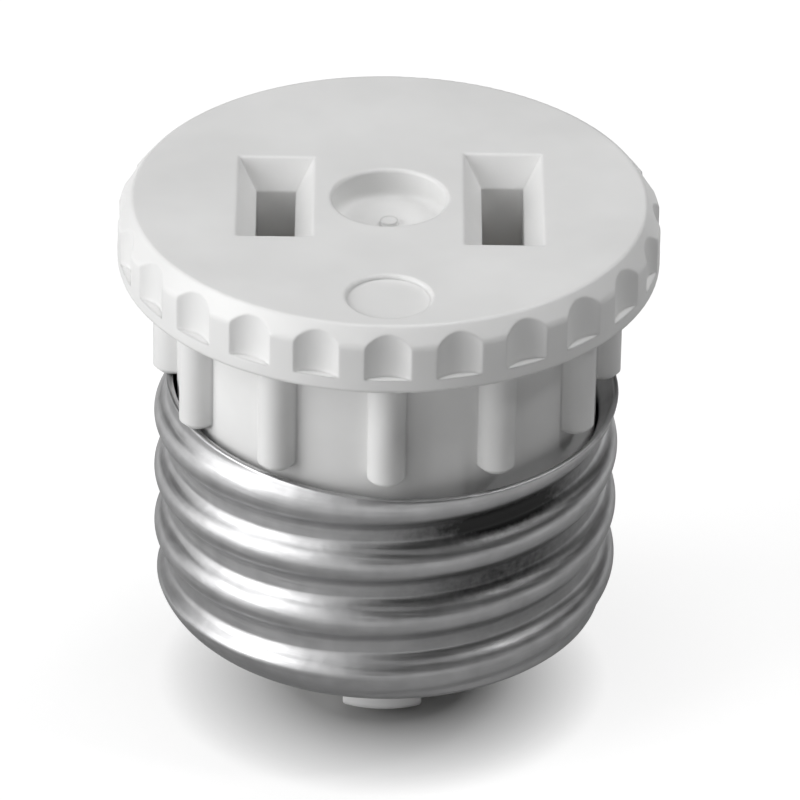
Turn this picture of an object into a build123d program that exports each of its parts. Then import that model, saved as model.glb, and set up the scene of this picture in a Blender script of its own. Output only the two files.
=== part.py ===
from build123d import *
from math import acos, cos, radians, sin, sqrt, tan
import os

# Screw-in lamp socket adapter: a medium screw base that carries a two-slot polarised outlet.
# Millimetres, +Z up. The origin is the middle of the centre contact's underside and the outlet face
# looks up. The slots stand side by side along X, the narrow one at -X, and -Y is the front.

# Heights of the stack, from the centre contact upwards
rivet_head_height = 0.6
nose_drop = 4.7
shell_height = 14.2
rib_rise = 0.77
rib_length = 7.28
flange_thickness = 3.85

# Outlet face and scalloped flange
flange_radius = 15.15
face_bevel_width = 0.8
face_bevel_drop = 1.0
flange_edge_round = 0.2
flange_shoulder_round = 0.6
notch_count = 24
notch_width = 2.7
notch_depth = 0.48
lip_thickness = 0.85

# Neck and its grip ribs
neck_clearance = 0.2
rib_count = 12
rib_width = 2.1
rib_reach = 1.35
rib_end_chamfer = 0.3

# Blade slots with funnel mouths
slot_spacing = 12.7
hot_slot_width = 2.2
hot_slot_length = 7.1
neutral_slot_width = 2.35
neutral_slot_length = 8.45
funnel_margin = 1.0
funnel_depth = 1.7
mouth_round = 0.2

# Round features of the face
gate_recess_radius = 3.2
gate_recess_depth = 1.7
gate_floor_round = 0.5
gate_stub_radius = 0.5
gate_stub_height = 0.25
inset_radius = 2.3
inset_depth = 0.25
inset_distance = 11.1

# Rolled screw shell, seven turns to the inch, its cut edge a little out of square
thread_pitch = 25.4 / 7
thread_crest_radius = 13.12
thread_depth = 0.8
crest_below_top = 0.86
edge_skew = 1.86
sheet_thickness = 0.35
curl_radius = 3.0
shell_mouth_radius = 9.4
root_flat = 0.06
plug_overrun = 0.5

# Base cap and nose
cap_clearance = 0.25
cap_height = 2.2
boss_clearance = 0.3
boss_drop = 0.6
nose_width = 4.5
nose_radius = 5.0
nose_round = 0.4

# Contacts and rivet
strip_thickness = 0.5
clip_width = 6.2
clip_spread = 1.7
clip_pinch = 1.1
clip_mouth = 1.75
clip_bend = 0.6
clip_waist_height = 7.0
clip_flare_height = 2.6
clip_headroom = 0.5
tail_width = 4.0
tail_window_margin = 0.2
tail_window_height = 6.4
tab_height = 3.0
tab_gap = 0.1
rivet_head_radius = 2.1
rivet_shank_radius = 1.2
rivet_hole_clearance = 0.05
clinch_radius = 1.9
clinch_height = 0.6
rivet_chamfer = 0.15

# Chambers inside the body
pocket_width = 5.0
pocket_margin = 1.0
pocket_roof = 6.5
pocket_round = 0.5
well_wall = 2.2
well_depth = 2.6
tail_notch_clearance = 0.3

# Levels worked out from the stack
nose_bottom = rivet_head_height
shell_bottom = nose_bottom + nose_drop
shell_top = shell_bottom + shell_height
rib_bottom = shell_top + rib_rise
flange_bottom = rib_bottom + rib_length
face_level = flange_bottom + flange_thickness
cap_bottom = shell_bottom + sheet_thickness
cap_top = cap_bottom + cap_height
gate_level = face_level - gate_recess_depth
pocket_top = face_level - pocket_roof
clip_base = cap_top + strip_thickness / 2
clip_height = pocket_top - clip_headroom - clip_base
edge_plane = Plane.XY.offset(shell_top).rotated((0, edge_skew, 0))
edge_rise = (thread_crest_radius + plug_overrun) * tan(radians(edge_skew))

# Radii worked out from the sheet and the thread
root_radius = thread_crest_radius - thread_depth
shell_wall_radius = root_radius + root_flat
shell_inner_radius = shell_wall_radius - sheet_thickness
curl_centre_radius = thread_crest_radius - curl_radius
curl_centre_level = shell_bottom + curl_radius
neck_radius = shell_inner_radius - neck_clearance
cap_radius = shell_inner_radius - cap_clearance
curl_inside = curl_radius - sheet_thickness
curl_rise = curl_inside - sqrt(curl_inside**2 - (cap_radius - curl_centre_radius)**2)
notch_cutter_radius = (notch_width**2 / 4 + notch_depth**2) / (2 * notch_depth)
rivet_hole_radius = rivet_shank_radius + rivet_hole_clearance
slot_offset = slot_spacing / 2
tab_reach = sqrt(shell_inner_radius**2 - tail_width**2 / 4) - tab_gap
tab_middle = tab_reach - strip_thickness / 2
slots = [
    (-slot_offset, hot_slot_width, hot_slot_length),
    (slot_offset, neutral_slot_width, neutral_slot_length),
]
FRONT = -90

os.makedirs("parts", exist_ok=True)


def thread_section(skin):
    """Outline of one thread bead in the XZ plane, pushed inwards by skin along its normals."""
    wave_radius = (thread_pitch**2 / 4 + thread_depth**2) / (4 * thread_depth)
    flank_angle = acos(1 - thread_depth / (2 * wave_radius))
    crest_arc = wave_radius - skin
    root_arc = wave_radius + skin
    crest_centre = thread_crest_radius - wave_radius
    root_centre = root_radius + wave_radius
    turn_x = crest_centre + crest_arc * cos(flank_angle)
    turn_z = crest_arc * sin(flank_angle)
    foot_angle = acos(1 - root_flat / (2 * root_arc))
    foot_x = root_centre - root_arc * cos(foot_angle)
    foot_z = thread_pitch / 2 - root_arc * sin(foot_angle)
    mid_angle = (flank_angle + foot_angle) / 2
    mid_x = root_centre - root_arc * cos(mid_angle)
    mid_z = thread_pitch / 2 - root_arc * sin(mid_angle)
    base_x = foot_x - sheet_thickness / 2
    with BuildSketch(Plane.XZ) as section:
        with BuildLine():
            ThreePointArc((foot_x, -foot_z), (mid_x, -mid_z), (turn_x, -turn_z))
            ThreePointArc((turn_x, -turn_z), (crest_centre + crest_arc, 0), (turn_x, turn_z))
            ThreePointArc((turn_x, turn_z), (mid_x, mid_z), (foot_x, foot_z))
            Polyline((foot_x, foot_z), (base_x, foot_z), (base_x, -foot_z), (foot_x, -foot_z))
        make_face()
    return section.sketch


def threaded_plug(skin):
    """Solid that fills the shell's surface, set inwards by skin, before its upper edge is cut."""
    front_crest = shell_top - crest_below_top
    turns = int((front_crest - shell_bottom) / thread_pitch) + 1
    start_level = front_crest + thread_pitch / 4 - turns * thread_pitch
    run = (turns + 0.75) * thread_pitch
    with BuildPart() as wall:
        with BuildSketch(Plane.XY.offset(start_level - thread_pitch)):
            Circle(shell_wall_radius - skin)
        extrude(amount=run + 2 * thread_pitch)
    with BuildPart() as bead:
        with BuildLine():
            path = Helix(thread_pitch, run, thread_crest_radius, center=(0, 0, start_level))
        sweep(sections=thread_section(skin).moved(Location((0, 0, start_level))), path=path, is_frenet=True)
    with BuildPart() as envelope:
        with BuildSketch(Plane.XZ):
            with BuildLine():
                Line((0, shell_bottom + skin), (curl_centre_radius, shell_bottom + skin))
                CenterArc((curl_centre_radius, curl_centre_level), curl_radius - skin, FRONT, 90)
                Polyline(
                    (thread_crest_radius - skin, curl_centre_level),
                    (thread_crest_radius + plug_overrun, curl_centre_level),
                    (thread_crest_radius + plug_overrun, shell_top + edge_rise),
                    (0, shell_top + edge_rise),
                    (0, shell_bottom + skin),
                )
            make_face()
        revolve(axis=Axis.Z)
    with BuildPart() as plug:
        add(wall.part)
        add(bead.part)
        add(envelope.part, mode=Mode.INTERSECT)
    return plug.part


def spring_clip():
    """U-shaped strip that grips a blade: straight legs, a pinch near the top and a flared mouth."""
    pinch = (clip_pinch + strip_thickness) / 2
    side = [
        (clip_mouth, clip_height),
        (pinch, clip_height - clip_flare_height),
        (clip_spread, clip_waist_height),
        (clip_spread, 0),
    ]
    other = [(-x, z) for x, z in reversed(side)]
    with BuildPart() as clip:
        with BuildSketch(Plane.XZ):
            with BuildLine():
                FilletPolyline(*side, *other, radius=clip_bend)
            trace(line_width=strip_thickness)
        extrude(amount=clip_width / 2, both=True)
    return clip.part


def flange_corners(outline):
    """Corners of the body's half section that stand outside the neck, lowest first."""
    return outline.vertices().filter_by(lambda v: v.X > neck_radius).sort_by(Axis.Y)


shell_outside = threaded_plug(0)
shell_inside = threaded_plug(sheet_thickness)
clip_form = spring_clip()

# Rolled metal shell: the thread pressed into thin sheet, the lower edge turned in, the upper one cut
with BuildPart() as screw_shell:
    add(shell_outside)
    add(shell_inside, mode=Mode.SUBTRACT)
    with BuildSketch(Plane.XY.offset(shell_bottom - sheet_thickness)):
        Circle(shell_mouth_radius)
    extrude(amount=3 * sheet_thickness, mode=Mode.SUBTRACT)
    split(bisect_by=edge_plane, keep=Keep.BOTTOM)
screw_shell.part.label = "screw_shell"
export_step(screw_shell.part, "parts/screw_shell.step")

# One grip rib of the neck, at the front
with BuildPart() as grip_rib:
    with BuildSketch(Plane.XY.offset(rib_bottom)):
        with Locations((0, rib_width / 2 - neck_radius - rib_reach)):
            Circle(rib_width / 2)
            Rectangle(rib_width, rib_width + 2 * rib_reach, align=(Align.CENTER, Align.MIN))
    extrude(amount=rib_length + lip_thickness / 2)
    chamfer(grip_rib.faces().sort_by(Axis.Z)[0].edges(), rib_end_chamfer)

# Outlet body: face, scalloped flange, ribbed neck and the core that goes down inside the shell
with BuildPart() as outlet_body:
    with BuildSketch(Plane.XZ) as outline:
        with BuildLine():
            Polyline(
                (0, cap_top),
                (neck_radius, cap_top),
                (neck_radius, flange_bottom),
                (flange_radius, flange_bottom),
                (flange_radius, face_level - face_bevel_drop),
                (flange_radius - face_bevel_width, face_level),
                (0, face_level),
                (0, cap_top),
            )
        make_face()
        fillet(flange_corners(outline)[1], flange_shoulder_round)
        fillet([flange_corners(outline)[0], flange_corners(outline)[-1]], flange_edge_round)
    revolve(axis=Axis.Z)
    with PolarLocations(0, rib_count):
        add(grip_rib.part)

    # Scallops round the flange, standing on a thin lip
    with BuildSketch(Plane.XY.offset(flange_bottom + lip_thickness)):
        with PolarLocations(flange_radius - notch_depth + notch_cutter_radius, notch_count, FRONT):
            Circle(notch_cutter_radius)
    extrude(amount=flange_thickness, mode=Mode.SUBTRACT)

    # Blade slots: funnel mouth, throat and the chamber for the spring clip
    for x, width, length in slots:
        with BuildSketch(Plane.XY.offset(face_level)):
            with Locations((x, 0)):
                Rectangle(width + 2 * funnel_margin, length + 2 * funnel_margin)
        with BuildSketch(Plane.XY.offset(face_level - funnel_depth)):
            with Locations((x, 0)):
                Rectangle(width, length)
        loft(mode=Mode.SUBTRACT)
        with BuildSketch(Plane.XY.offset(face_level - funnel_depth)):
            with Locations((x, 0)):
                Rectangle(width, length)
        extrude(amount=funnel_depth - pocket_roof, mode=Mode.SUBTRACT)
        with BuildSketch(Plane.XY.offset(cap_top)):
            with Locations((x, 0)):
                RectangleRounded(pocket_width, length + 2 * pocket_margin, pocket_round)
        extrude(amount=pocket_top - cap_top, mode=Mode.SUBTRACT)

    # Gate recess and the blank round inset near the front, with the rims of all the face's openings rounded
    with BuildSketch(Plane.XY.offset(gate_level)):
        Circle(gate_recess_radius)
    extrude(amount=gate_recess_depth, mode=Mode.SUBTRACT)
    gate_floor = outlet_body.faces().filter_by(Axis.Z).sort_by_distance((0, 0, gate_level))[0]
    fillet(gate_floor.edges(), gate_floor_round)
    with BuildSketch(Plane.XY.offset(face_level - inset_depth)):
        with Locations((0, -inset_distance)):
            Circle(inset_radius)
    extrude(amount=inset_depth, mode=Mode.SUBTRACT)
    fillet(outlet_body.faces().sort_by(Axis.Z)[-1].inner_wires().edges(), mouth_round)
    with BuildSketch(Plane.XY.offset(gate_level)):
        Circle(gate_stub_radius)
    extrude(amount=gate_stub_height)

    # Wiring well underneath, and the way out for the neutral tab
    with BuildSketch(Plane.XY.offset(cap_top)):
        Circle(neck_radius - well_wall)
    extrude(amount=well_depth, mode=Mode.SUBTRACT)
    with BuildSketch(Plane.XY.offset(cap_top)):
        with Locations((slot_offset, 0)):
            Rectangle(neck_radius, tail_width + 2 * tail_notch_clearance, align=(Align.MIN, Align.CENTER))
    extrude(amount=tab_height + tail_notch_clearance, mode=Mode.SUBTRACT)
outlet_body.part.label = "outlet_body"
export_step(outlet_body.part, "parts/outlet_body.step")

# Base cap: disc seated in the curl, boss through the mouth and the flat-sided nose
with BuildPart() as base_cap:
    with BuildSketch(Plane.XZ):
        with BuildLine():
            Polyline(
                (0, cap_bottom - boss_drop),
                (shell_mouth_radius - boss_clearance, cap_bottom - boss_drop),
                (shell_mouth_radius - boss_clearance, cap_bottom),
                (curl_centre_radius, cap_bottom),
                (cap_radius, cap_bottom + curl_rise + cap_clearance),
                (cap_radius, cap_top),
                (0, cap_top),
                (0, cap_bottom - boss_drop),
            )
        make_face()
    revolve(axis=Axis.Z)
    with BuildSketch(Plane.XY.offset(nose_bottom)):
        Circle(nose_radius)
        Rectangle(nose_width, 2 * nose_radius, mode=Mode.INTERSECT)
    extrude(amount=cap_bottom - nose_bottom)
    fillet(base_cap.faces().sort_by(Axis.Z)[0].edges(), nose_round)
    with BuildSketch(Plane.XY.offset(nose_bottom)):
        Circle(rivet_hole_radius)
    extrude(amount=cap_top - nose_bottom, mode=Mode.SUBTRACT)
base_cap.part.label = "base_cap"
export_step(base_cap.part, "parts/base_cap.step")

# Hot contact: clip under the narrow slot, its tail lanced out to the rivet
with BuildPart() as hot_contact:
    with Locations((-slot_offset, 0, clip_base)):
        add(clip_form)
    with BuildSketch(Plane.XY.offset(cap_top)):
        with Locations((-slot_offset, 0)):
            Rectangle(slot_offset, tail_width + 2 * tail_window_margin, align=(Align.MIN, Align.CENTER))
    extrude(amount=tail_window_height, mode=Mode.SUBTRACT)
    with BuildSketch(Plane.XY.offset(cap_top)):
        with Locations((-slot_offset, 0)):
            Rectangle(slot_offset, tail_width, align=(Align.MIN, Align.CENTER))
        Circle(tail_width / 2)
        Circle(rivet_hole_radius, mode=Mode.SUBTRACT)
    extrude(amount=strip_thickness)
hot_contact.part.label = "hot_contact"
export_step(hot_contact.part, "parts/hot_contact.step")

# Neutral contact: clip under the wide slot, its tail lanced out and turned up against the shell
with BuildPart() as neutral_contact:
    with Locations((slot_offset, 0, clip_base)):
        add(clip_form)
    with BuildSketch(Plane.XY.offset(cap_top)):
        with Locations((slot_offset, 0)):
            Rectangle(slot_offset, tail_width + 2 * tail_window_margin, align=(Align.MIN, Align.CENTER))
    extrude(amount=tail_window_height, mode=Mode.SUBTRACT)
    with BuildSketch(Plane.XZ):
        with BuildLine():
            FilletPolyline(
                (slot_offset, clip_base),
                (tab_middle, clip_base),
                (tab_middle, cap_top + tab_height),
                radius=clip_bend,
            )
        trace(line_width=strip_thickness)
    extrude(amount=tail_width / 2, both=True)
neutral_contact.part.label = "neutral_contact"
export_step(neutral_contact.part, "parts/neutral_contact.step")

# Rivet through the nose: its flat head is the centre contact, its clinch holds the hot tail
with BuildPart() as centre_rivet:
    with BuildSketch(Plane.XY):
        Circle(rivet_head_radius)
    extrude(amount=rivet_head_height)
    chamfer(centre_rivet.faces().sort_by(Axis.Z)[0].edges(), rivet_chamfer)
    with BuildSketch(Plane.XY.offset(rivet_head_height)):
        Circle(rivet_shank_radius)
    extrude(amount=cap_top + strip_thickness - rivet_head_height)
    with BuildSketch(Plane.XY.offset(cap_top + strip_thickness)):
        Circle(clinch_radius)
    extrude(amount=clinch_height)
    chamfer(centre_rivet.faces().sort_by(Axis.Z)[-1].edges(), rivet_chamfer)
centre_rivet.part.label = "centre_rivet"
export_step(centre_rivet.part, "parts/centre_rivet.step")
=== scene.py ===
import bpy
import numpy as np
from mathutils import Matrix, Vector


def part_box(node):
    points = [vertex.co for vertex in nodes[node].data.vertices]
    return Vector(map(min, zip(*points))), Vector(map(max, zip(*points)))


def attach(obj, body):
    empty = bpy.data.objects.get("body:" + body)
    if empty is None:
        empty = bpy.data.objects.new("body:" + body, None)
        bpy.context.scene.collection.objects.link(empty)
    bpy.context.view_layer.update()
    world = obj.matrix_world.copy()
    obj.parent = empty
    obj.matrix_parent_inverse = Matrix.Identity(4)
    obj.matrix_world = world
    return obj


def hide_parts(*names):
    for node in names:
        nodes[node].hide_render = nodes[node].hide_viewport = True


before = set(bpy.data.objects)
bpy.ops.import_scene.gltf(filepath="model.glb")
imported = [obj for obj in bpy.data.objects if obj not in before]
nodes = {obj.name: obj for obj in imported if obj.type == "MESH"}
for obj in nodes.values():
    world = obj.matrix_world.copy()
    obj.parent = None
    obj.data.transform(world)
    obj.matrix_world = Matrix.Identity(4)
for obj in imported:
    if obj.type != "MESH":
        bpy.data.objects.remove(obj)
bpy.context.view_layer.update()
shell_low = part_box("screw_shell")[0]
MM = 0.001

# Rolled shell, in metres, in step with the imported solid; turns are counted from +X, and the front is -Y
INCH = 0.0254
TURNS_PER_INCH = 7
THREAD_PITCH = INCH / TURNS_PER_INCH
THREAD_DEPTH = 0.8 * MM
CREST_RADIUS = -shell_low[1]
ROOT_RADIUS = CREST_RADIUS - THREAD_DEPTH
ROOT_FLAT = 0.06 * MM
SHELL_BOTTOM = shell_low[2]
SHELL_TOP = SHELL_BOTTOM + 14.2 * MM
FRONT_TURN = -np.pi / 2
FRONT_CREST = SHELL_TOP - 0.86 * MM
RUN_OUT = 0.5
SHEET = 0.35 * MM
CURL_RADIUS = 3.0 * MM
MOUTH_RADIUS = 9.4 * MM
EDGE_SLOPE = np.tan(np.radians(1.86))
EDGE_BOW = 0.15 * MM
EDGE_CROWN = 0.1 * MM

# Grid of the shell: steps round it; rows of wall and curl for each skin; rows of the mouth's rim and crown
TURN_STEPS = 360
OUTER_ROWS = (130, 26)
INNER_ROWS = (70, 14)
MOUTH_ROWS = 7
CROWN_ROWS = 5

# Painted shade in the grooves, darkest to the right of the front
GROOVE_SHADE_TURN = np.radians(-58)
GROOVE_SHADE_SPREAD = np.radians(30)
GROOVE_SHADE_DROP = 0.12 * MM
GROOVE_SHADE_BELOW = 0.7
GROOVE_SHADE_STRENGTH = 1.35
GROOVE_SHADE_COLOUR = (0.04, 0.04, 0.04, 1)

# Patterns: the range that noise mostly keeps to; how much of X, Y and Z the rolling lines read, and how
# much they count beside the clouds in the shell's relief
NOISE_LOW = 0.3
NOISE_HIGH = 0.7
LINE_STRETCH = (0.04, 0.04, 1)
LINE_SHARE = 0.3

# Colour sockets of a Mix node, which shares their names with its sockets of other kinds
MIX_FROM = 6
MIX_TO = 7
MIX_RESULT = 2

# Floor and room: half the floor's side, and the rings, in metres, over which the floor starts to glow
FLOOR_HALF = 2.0
FLOOR_GREY = (0.45, 0.45, 0.45, 1)
FLOOR_ROUGHNESS = 0.9
GLOW_WHITE = (1, 1, 1, 1)
SEEN_RING = (0.005, 0.013)
SEEN_GLOW = 0.7
MIRRORED_RING = (0.04, 0.09)
MIRRORED_GLOW = 0.65
ROOM_GREY = (0.03, 0.03, 0.03, 1)

# Camera, solved from the photograph: picture size and focal length in pixels, place in metres and degrees
PICTURE_PX = 800
SENSOR_MM = 36.0
FOCAL_PX = 7797.0
CAMERA_DISTANCE = 0.4416
CAMERA_ELEVATION = 30.44
CAMERA_AZIMUTH = -0.38
CAMERA_ROLL = 0.961
CAMERA_CLIP = 0.01
TARGET_PX = (385.9, 429.0)
TARGET_HEIGHT = 0.0164


def grid_mesh(name, points, close_rows, close_columns):
    """Mesh over a grid of points (rows, columns, 3); either way of the grid can be joined end to start."""
    rows, columns = points.shape[:2]
    index = np.arange(rows * columns).reshape(rows, columns)
    if close_rows:
        index = np.vstack([index, index[:1]])
    if close_columns:
        index = np.hstack([index, index[:, :1]])
    corners = [index[:-1, :-1], index[:-1, 1:], index[1:, 1:], index[1:, :-1]]
    quads = np.stack(corners, axis=-1).reshape(-1, len(corners))
    mesh = bpy.data.meshes.new(name)
    mesh.vertices.add(rows * columns)
    mesh.vertices.foreach_set("co", points.reshape(-1).astype(np.float32))
    mesh.loops.add(quads.size)
    mesh.loops.foreach_set("vertex_index", quads.reshape(-1).astype(np.int32))
    mesh.polygons.add(len(quads))
    mesh.polygons.foreach_set("loop_start", np.arange(0, quads.size, len(corners), dtype=np.int32))
    mesh.polygons.foreach_set("use_smooth", np.ones(len(quads), dtype=bool))
    mesh.update(calc_edges=True)
    mesh.validate()
    piece = bpy.data.objects.new(name, mesh)
    bpy.context.scene.collection.objects.link(piece)
    return piece


def thread_radius(turn, level, skin):
    """Radius of the rolled thread: equal crest and root arcs in the distance from the nearest crest, where
    the crest climbs one pitch a turn. Skin sets the surface inwards. At the front, the stretch above the
    last crest runs out: part of the way from the thread back to the crest's radius, by the cosine of the
    turn."""
    wave = (THREAD_PITCH**2 / 4 + THREAD_DEPTH**2) / (4 * THREAD_DEPTH)
    flank = np.arccos(1 - THREAD_DEPTH / (2 * wave))
    crest_level = FRONT_CREST + THREAD_PITCH * (turn - FRONT_TURN) / (2 * np.pi)
    off = np.abs((level - crest_level + THREAD_PITCH / 2) % THREAD_PITCH - THREAD_PITCH / 2)
    crest_arc = wave - skin
    root_arc = wave + skin
    crest = CREST_RADIUS - wave + np.sqrt(np.maximum(crest_arc**2 - off**2, 0))
    into_root = np.minimum(THREAD_PITCH / 2 - off, root_arc)
    root = ROOT_RADIUS + wave - np.sqrt(np.maximum(root_arc**2 - into_root**2, 0))
    radius = np.where(off <= crest_arc * np.sin(flank), crest, root)
    radius = np.maximum(radius, ROOT_RADIUS + ROOT_FLAT - skin)
    run_out = RUN_OUT * np.maximum(np.cos(turn - FRONT_TURN), 0) * (level > crest_level)
    return radius + run_out * (CREST_RADIUS - skin - radius)


def shell_side(turn, skin, wall_rows, curl_rows):
    """One skin of the shell from the top edge down: threaded wall, then the curl, a quarter arc that takes
    over where it lies inside the thread. The edge is skewed by the cosine of the turn and bowed up at both
    sides by the cosine of twice the turn."""
    skew = EDGE_SLOPE * ROOT_RADIUS * np.cos(turn)
    bow = EDGE_BOW * (1 + np.cos(2 * turn))
    top = SHELL_TOP - EDGE_CROWN - skew + bow
    centre_radius = CREST_RADIUS - CURL_RADIUS
    centre_level = SHELL_BOTTOM + CURL_RADIUS
    arc = CURL_RADIUS - skin
    angle = np.linspace(0, np.pi / 2, curl_rows)[:, None]
    share = np.linspace(0, 1, wall_rows)[:-1, None]
    wall = top + share * (centre_level - top)
    curl = np.broadcast_to(centre_level - arc * np.sin(angle), (curl_rows, len(turn)))
    level = np.vstack([wall, curl])
    no_limit = np.full_like(wall, np.inf)
    limit = np.vstack([no_limit, np.broadcast_to(centre_radius + arc * np.cos(angle), curl.shape)])
    return np.minimum(thread_radius(turn, level, skin), limit), level


def edge_rows(start, end, bulge, rows):
    """Rows of points on a half ellipse from one skin's end to the other's, both given as radius and level:
    along the chord by half of one minus the cosine, and off it by the sine times the bulge."""
    angle = np.linspace(0, np.pi, rows + 2)[1:-1, None]
    along = (1 - np.cos(angle)) / 2
    radius = start[0] + along * (end[0] - start[0]) + bulge[0] * np.sin(angle)
    level = start[1] + along * (end[1] - start[1]) + bulge[1] * np.sin(angle)
    return radius, level


def painted_groove_shade(turn, level):
    """Painted shade in the grooves, set a little towards the flank below: it grows with the thread's depth,
    fades as a bell curve in the turn away from its middle, fades to nothing at the curl, and is weaker
    below the first groove."""
    depth = (CREST_RADIUS - thread_radius(turn, level + GROOVE_SHADE_DROP, 0.0)) / THREAD_DEPTH
    around = np.exp(-((turn - GROOVE_SHADE_TURN) / GROOVE_SHADE_SPREAD) ** 2)
    height = np.clip((level - SHELL_BOTTOM - CURL_RADIUS) / THREAD_PITCH, 0, 1)
    first = np.clip(2 * (level - FRONT_CREST + THREAD_PITCH) / THREAD_PITCH, GROOVE_SHADE_BELOW, 1)
    return GROOVE_SHADE_STRENGTH * np.clip(depth, 0, 1) * around * height * first


def screw_shell():
    """Closed surface of the shell: outer skin down, rim of the mouth, inner skin up, crown of the top edge.
    The turn goes down, clockwise, so that the faces point outwards. The outer skin carries its painted
    groove shade as an attribute."""
    turn = np.linspace(np.pi, -np.pi, TURN_STEPS + 1)[:-1]
    outer_r, outer_z = shell_side(turn, 0.0, *OUTER_ROWS)
    inner_r, inner_z = shell_side(turn, SHEET, *INNER_ROWS)
    flat_end = np.full((1, len(turn)), MOUTH_RADIUS + SHEET / 2)
    outer_r = np.vstack([outer_r, flat_end])
    outer_z = np.vstack([outer_z, outer_z[-1:]])
    inner_r = np.vstack([inner_r, flat_end])
    inner_z = np.vstack([inner_z, inner_z[-1:]])
    mouth_r, mouth_z = edge_rows(
        (outer_r[-1], outer_z[-1]), (inner_r[-1], inner_z[-1]), (-SHEET / 2, 0), MOUTH_ROWS
    )
    crown_r, crown_z = edge_rows(
        (inner_r[0], inner_z[0]), (outer_r[0], outer_z[0]), (0, EDGE_CROWN), CROWN_ROWS
    )
    radius = np.vstack([outer_r, mouth_r, inner_r[::-1], crown_r])
    level = np.vstack([outer_z, mouth_z, inner_z[::-1], crown_z])
    points = np.stack([radius * np.cos(turn), radius * np.sin(turn), level], axis=-1)
    piece = grid_mesh("screw_shell_rolled", points, close_rows=True, close_columns=True)
    shade_share = np.zeros_like(radius)
    # Painted shade: the darkening of the grooves is stored on the outer skin for the material to read.
    shade_share[:len(outer_z)] = painted_groove_shade(turn, outer_z)
    layer = piece.data.attributes.new("painted_groove_shade", "FLOAT", "POINT")
    layer.data.foreach_set("value", shade_share.reshape(-1).astype(np.float32))
    return piece


def new_material(name):
    """Node material with its Principled shader, and the coordinates that its patterns read."""
    material = bpy.data.materials.new(name)
    material.use_nodes = True
    tree = material.node_tree
    place = tree.nodes.new("ShaderNodeTexCoord").outputs["Object"]
    return material, tree, tree.nodes["Principled BSDF"], place


def add_node(tree, kind, values=None, **settings):
    """New node with its settings, and the inputs that stay fixed."""
    node = tree.nodes.new(kind)
    for name, setting in settings.items():
        setattr(node, name, setting)
    for name, value in (values or {}).items():
        node.inputs[name].default_value = value
    return node


def combine(tree, operation, first, second, **settings):
    """Two values put together by a Math node."""
    node = add_node(tree, "ShaderNodeMath", operation=operation, **settings)
    tree.links.new(first, node.inputs[0])
    tree.links.new(second, node.inputs[1])
    return node.outputs["Value"]


def noise(tree, place, scale, detail):
    """Noise over the given coordinates, as its grey output."""
    texture = add_node(tree, "ShaderNodeTexNoise", {"Scale": scale, "Detail": detail})
    tree.links.new(place, texture.inputs["Vector"])
    return texture.outputs["Fac"]


def spread(tree, value, low, high):
    """Noise stretched from its middle range to the range from low to high."""
    stretch = {"From Min": NOISE_LOW, "From Max": NOISE_HIGH, "To Min": low, "To Max": high}
    reach = add_node(tree, "ShaderNodeMapRange", stretch)
    tree.links.new(value, reach.inputs["Value"])
    return reach.outputs["Result"]


def tint(tree, value, dark, light):
    """Colour that goes from dark to light as the noise rises through its middle range."""
    ramp = add_node(tree, "ShaderNodeValToRGB")
    for stop, place, colour in zip(ramp.color_ramp.elements, (NOISE_LOW, NOISE_HIGH), (dark, light)):
        stop.position = place
        stop.color = (*colour, 1)
    tree.links.new(value, ramp.inputs["Fac"])
    return ramp.outputs["Color"]


def relief(tree, height, strength, depth, soft_edge):
    """Normal from a bump, laid over edges softened to a small radius."""
    edge = add_node(tree, "ShaderNodeBevel", {"Radius": soft_edge}, samples=4)
    bump = add_node(tree, "ShaderNodeBump", {"Strength": strength, "Distance": depth})
    tree.links.new(height, bump.inputs["Height"])
    tree.links.new(edge.outputs["Normal"], bump.inputs["Normal"])
    return bump.outputs["Normal"]


def sheet_grain():
    """Group for rolled sheet: fine lines drawn out level, and soft clouds, as values round one half."""
    group = bpy.data.node_groups.new("sheet_grain", "ShaderNodeTree")
    group.interface.new_socket("Place", in_out="INPUT", socket_type="NodeSocketVector")
    for name in ("Lines", "Clouds"):
        group.interface.new_socket(name, in_out="INPUT", socket_type="NodeSocketFloat")
    for name in ("Grain", "Cloud"):
        group.interface.new_socket(name, in_out="OUTPUT", socket_type="NodeSocketFloat")
    given = group.nodes.new("NodeGroupInput")
    result = group.nodes.new("NodeGroupOutput")
    drawn = add_node(group, "ShaderNodeVectorMath", {1: LINE_STRETCH}, operation="MULTIPLY")
    group.links.new(given.outputs["Place"], drawn.inputs[0])
    for output, place, scale, detail in (
        ("Grain", drawn.outputs["Vector"], "Lines", 3),
        ("Cloud", given.outputs["Place"], "Clouds", 2),
    ):
        texture = add_node(group, "ShaderNodeTexNoise", {"Detail": detail})
        group.links.new(place, texture.inputs["Vector"])
        group.links.new(given.outputs[scale], texture.inputs["Scale"])
        group.links.new(texture.outputs["Fac"], result.inputs[output])
    return group


SHEET_GRAIN = sheet_grain()


def grained(tree, place, lines, clouds):
    """The sheet grain group placed in a material: its grain and cloud outputs."""
    grain = add_node(tree, "ShaderNodeGroup", node_tree=SHEET_GRAIN)
    grain.inputs["Lines"].default_value = lines
    grain.inputs["Clouds"].default_value = clouds
    tree.links.new(place, grain.inputs["Place"])
    return grain.outputs["Grain"], grain.outputs["Cloud"]


def join_patterns(tree, shader, colour, roughness, normal):
    """Joins a material's patterns to its shader."""
    tree.links.new(colour, shader.inputs["Base Color"])
    tree.links.new(roughness, shader.inputs["Roughness"])
    tree.links.new(normal, shader.inputs["Normal"])


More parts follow.
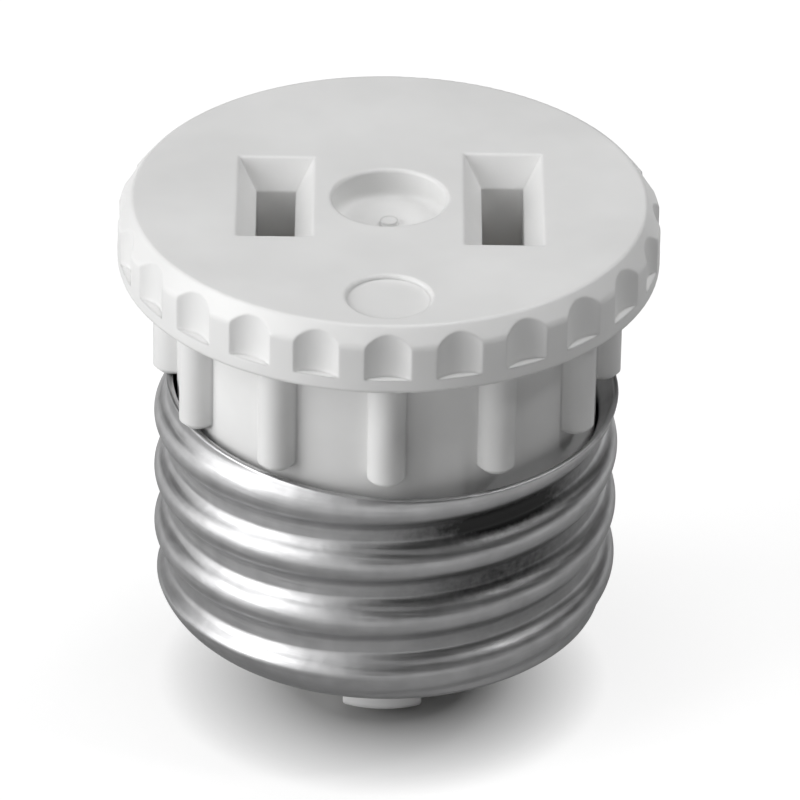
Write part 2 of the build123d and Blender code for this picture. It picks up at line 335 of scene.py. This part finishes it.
def white_plastic():
    """Satin white moulding: faint clouds in its colour and gloss, fine orange peel, soft edges."""
    material, tree, shader, place = new_material("white_plastic")
    cloud = noise(tree, place, scale=170, detail=3)
    peel = noise(tree, place, scale=2400, detail=2)
    join_patterns(
        tree,
        shader,
        colour=tint(tree, cloud, dark=(0.80, 0.80, 0.795), light=(0.86, 0.86, 0.855)),
        roughness=spread(tree, cloud, low=0.34, high=0.44),
        normal=relief(tree, peel, strength=0.12, depth=0.05 * MM, soft_edge=0.25 * MM),
    )
    return material


def rolled_metal():
    """Satin rolled sheet: fine lines round the shell from its rolling, faint clouds where it was handled,
    and faintly flecked painted shade in the grooves."""
    material, tree, shader, place = new_material("rolled_metal")
    shader.inputs["Metallic"].default_value = 1.0
    grain, cloud = grained(tree, place, lines=5200, clouds=700)
    uneven = add_node(tree, "ShaderNodeMath", {1: LINE_SHARE}, operation="MULTIPLY_ADD")
    tree.links.new(grain, uneven.inputs[0])
    tree.links.new(cloud, uneven.inputs[2])
    # Painted shade: the stored groove mask, flecked, blends the metal's colour towards near black.
    shade_share = add_node(tree, "ShaderNodeAttribute", attribute_name="painted_groove_shade").outputs["Fac"]
    flecks = spread(tree, noise(tree, place, scale=2600, detail=3), low=0.9, high=1.1)
    unshaded_colour = tint(tree, cloud, dark=(0.46, 0.46, 0.465), light=(0.54, 0.54, 0.545))
    colour = add_node(tree, "ShaderNodeMix", {MIX_TO: GROOVE_SHADE_COLOUR}, data_type="RGBA")
    tree.links.new(combine(tree, "MULTIPLY", shade_share, flecks, use_clamp=True), colour.inputs["Factor"])
    tree.links.new(unshaded_colour, colour.inputs[MIX_FROM])
    join_patterns(
        tree,
        shader,
        colour=colour.outputs[MIX_RESULT],
        roughness=spread(tree, grain, low=0.34, high=0.50),
        normal=relief(tree, uneven.outputs["Value"], strength=0.5, depth=0.06 * MM, soft_edge=0.06 * MM),
    )
    return material


def contact_brass():
    """Bright strip brass: fine rolling lines and a little tarnishing."""
    material, tree, shader, place = new_material("contact_brass")
    shader.inputs["Metallic"].default_value = 1.0
    grain, cloud = grained(tree, place, lines=7000, clouds=420)
    join_patterns(
        tree,
        shader,
        colour=tint(tree, cloud, dark=(0.62, 0.46, 0.2), light=(0.80, 0.64, 0.34)),
        roughness=spread(tree, grain, low=0.22, high=0.36),
        normal=relief(tree, grain, strength=0.08, depth=0.02 * MM, soft_edge=0.08 * MM),
    )
    return material


def dress(piece, material):
    """Gives a piece one material in its first slot."""
    piece.data.materials.clear()
    piece.data.materials.append(material)


def glow_ring(tree, reach, ring, strength, seen):
    """Glow for the rays that a mask names: nothing inside the ring, its full strength outside."""
    rise = {"From Min": ring[0], "From Max": ring[1], "To Max": strength}
    fade = add_node(tree, "ShaderNodeMapRange", rise)
    tree.links.new(reach, fade.inputs["Value"])
    return combine(tree, "MULTIPLY", seen, fade.outputs["Result"])


def pale_floor():
    """Flat square that glows white where it is seen directly or, further out, in a reflection; close under
    the part it keeps the shadow."""
    sides = np.array([-FLOOR_HALF, FLOOR_HALF])
    across, along = np.meshgrid(sides, sides)
    corners = np.stack([across, along, np.zeros_like(across)], axis=-1)
    floor = grid_mesh("floor", corners, close_rows=False, close_columns=False)
    material, tree, shader, place = new_material("pale_floor")
    shader.inputs["Base Color"].default_value = FLOOR_GREY
    shader.inputs["Roughness"].default_value = FLOOR_ROUGHNESS
    shader.inputs["Emission Color"].default_value = GLOW_WHITE
    reach = add_node(tree, "ShaderNodeVectorMath", operation="LENGTH")
    tree.links.new(place, reach.inputs[0])
    path = add_node(tree, "ShaderNodeLightPath").outputs
    mirrored = combine(tree, "MAXIMUM", path["Is Glossy Ray"], path["Is Transmission Ray"])
    near = glow_ring(tree, reach.outputs["Value"], SEEN_RING, SEEN_GLOW, path["Is Camera Ray"])
    far = glow_ring(tree, reach.outputs["Value"], MIRRORED_RING, MIRRORED_GLOW, mirrored)
    tree.links.new(combine(tree, "ADD", near, far), shader.inputs["Emission Strength"])
    dress(floor, material)


def direction(azimuth, elevation):
    """Unit vector from the part to a place at an azimuth, counted from the front to the right, and an
    elevation, both in degrees."""
    azimuth, elevation = np.radians([azimuth, elevation])
    level_reach = np.cos(elevation)
    return np.array([np.sin(azimuth) * level_reach, -np.cos(azimuth) * level_reach, np.sin(elevation)])


def soft_light(name, azimuth, elevation, distance, width, height, level):
    """Area lamp aimed at the middle of the part; level is about the brightness that it alone would give a
    white card facing it."""
    away = Vector(direction(azimuth, elevation))
    place = Vector((0, 0, TARGET_HEIGHT)) + away * distance
    lamp = bpy.data.lights.new(name, "AREA")
    lamp.shape = "RECTANGLE"
    lamp.size = width
    lamp.size_y = height
    lamp.energy = level * (np.pi * distance) ** 2
    holder = bpy.data.objects.new(name, lamp)
    holder.matrix_world = Matrix.Translation(place) @ away.to_track_quat("Z", "Y").to_matrix().to_4x4()
    bpy.context.scene.collection.objects.link(holder)


def studio():
    """Low key from the left, a small and a weak light from the right, one overhead, a wide fill round the
    key, and a dark room."""
    soft_light("left_key", azimuth=-70, elevation=23, distance=0.45, width=0.34, height=0.46, level=0.76)
    soft_light("right_spot", azimuth=72, elevation=48, distance=0.5, width=0.06, height=0.06, level=0.10)
    soft_light("right_light", azimuth=115, elevation=58, distance=0.5, width=0.3, height=0.3, level=0.25)
    soft_light("overhead", azimuth=0, elevation=85, distance=0.6, width=0.3, height=0.3, level=0.27)
    soft_light("front_fill", azimuth=-62, elevation=14, distance=0.6, width=1.2, height=0.5, level=0.46)
    world = bpy.data.worlds.new("room")
    world.use_nodes = True
    world.node_tree.nodes["Background"].inputs["Color"].default_value = ROOM_GREY
    bpy.context.scene.world = world


def photo_camera():
    """Camera at the photograph's place: moving the camera takes up the target's offset in the picture."""
    back = direction(CAMERA_AZIMUTH, CAMERA_ELEVATION)
    azimuth, roll = np.radians([CAMERA_AZIMUTH, CAMERA_ROLL])
    level_right = np.array([np.cos(azimuth), np.sin(azimuth), 0])
    level_up = np.cross(back, level_right)
    right = level_right * np.cos(roll) + level_up * np.sin(roll)
    up = level_up * np.cos(roll) - level_right * np.sin(roll)
    across = (TARGET_PX[0] - PICTURE_PX / 2) / FOCAL_PX * CAMERA_DISTANCE
    above = (PICTURE_PX / 2 - TARGET_PX[1]) / FOCAL_PX * CAMERA_DISTANCE
    place = np.array([0, 0, TARGET_HEIGHT]) + back * CAMERA_DISTANCE - right * across - up * above
    lens = bpy.data.cameras.new("photo_camera")
    lens.sensor_width = SENSOR_MM
    lens.lens = FOCAL_PX * SENSOR_MM / PICTURE_PX
    lens.clip_start = CAMERA_CLIP
    camera = bpy.data.objects.new("photo_camera", lens)
    matrix = Matrix.Identity(4)
    for column, axis in enumerate((right, up, back, place)):
        matrix.col[column][:3] = axis
    camera.matrix_world = matrix
    bpy.context.scene.collection.objects.link(camera)
    bpy.context.scene.camera = camera


plastic = white_plastic()
metal = rolled_metal()
brass = contact_brass()
for name in ("outlet_body", "base_cap"):
    dress(nodes[name], plastic)
for name in ("hot_contact", "neutral_contact", "centre_rivet"):
    dress(nodes[name], brass)

shell = screw_shell()
dress(shell, metal)
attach(shell, "root")
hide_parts("screw_shell")

pale_floor()
studio()
photo_camera()
bpy.context.scene.view_settings.view_transform = "Standard"
bpy.context.view_layer.update()
